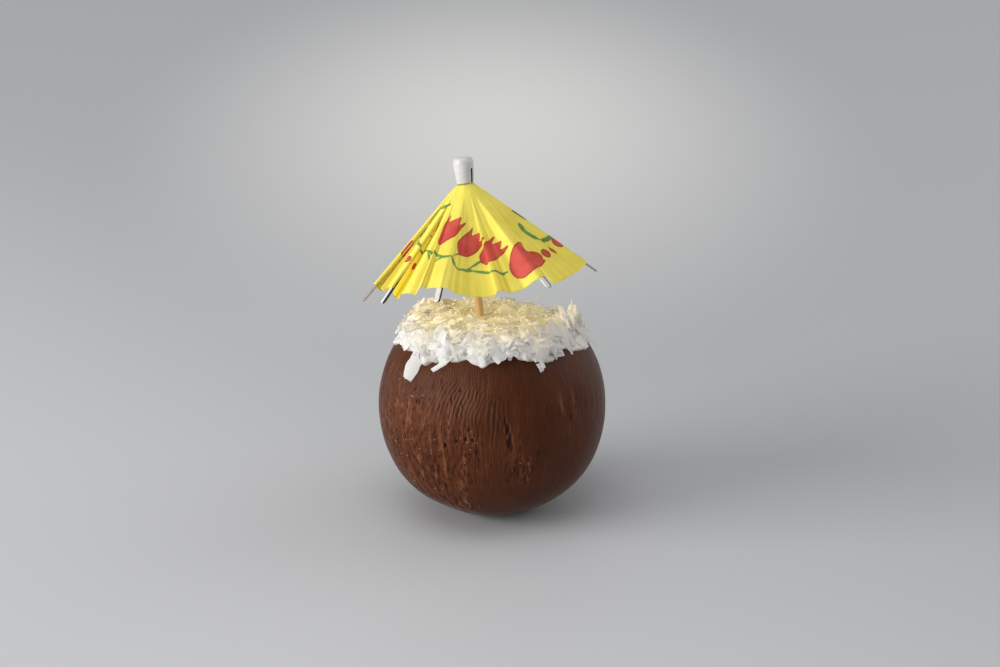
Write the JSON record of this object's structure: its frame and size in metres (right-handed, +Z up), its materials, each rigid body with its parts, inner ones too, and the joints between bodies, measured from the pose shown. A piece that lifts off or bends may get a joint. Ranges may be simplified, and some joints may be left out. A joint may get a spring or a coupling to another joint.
{
  "type": "chocolate dome cake",
  "caption": "Round chocolate cake shaped like a small coconut, topped with whipped cream and shredded coconut, with a yellow paper cocktail parasol stuck in it.",
  "frame": {"origin": "centre of the small flat spot that the cake stands on", "axes": "+Z up, the longest extent; -Y towards the front, the side the picture shows; +X to the right seen from the front"},
  "size_m": [0.0745, 0.0732, 0.1096],
  "materials": {
    "chocolate": "satin milk chocolate coating with brushed ridges and pits",
    "cream": "soft white whipped cream",
    "coconut": "moist shredded coconut, cream white to pale yellow",
    "printed_paper": "thin pleated yellow paper with a red and green flower print",
    "white_card": "plain white card",
    "stick_wood": "plain pale wood",
    "rib_wood": "thin split wood with a white card face"
  },
  "bodies": {
    "root": {"chocolate_cake_ball": "chocolate", "whipped_cream": "cream", "shredded_coconut": "coconut", "parasol_stick": "stick_wood", "parasol_cap": "white_card", "parasol_hub": "white_card", "parasol_runner": "white_card", "parasol_canopy": "printed_paper", "parasol_rib_1": "rib_wood", "parasol_rib_2": "rib_wood", "parasol_rib_3": "rib_wood", "parasol_rib_4": "rib_wood", "parasol_rib_5": "rib_wood", "parasol_rib_6": "rib_wood", "parasol_rib_7": "rib_wood", "parasol_rib_8": "rib_wood", "parasol_stretcher_1": "white_card", "parasol_stretcher_2": "white_card", "parasol_stretcher_3": "white_card", "parasol_stretcher_4": "white_card", "parasol_stretcher_5": "white_card", "parasol_stretcher_6": "white_card", "parasol_stretcher_7": "white_card", "parasol_stretcher_8": "white_card"}
  },
  "joints": []
}
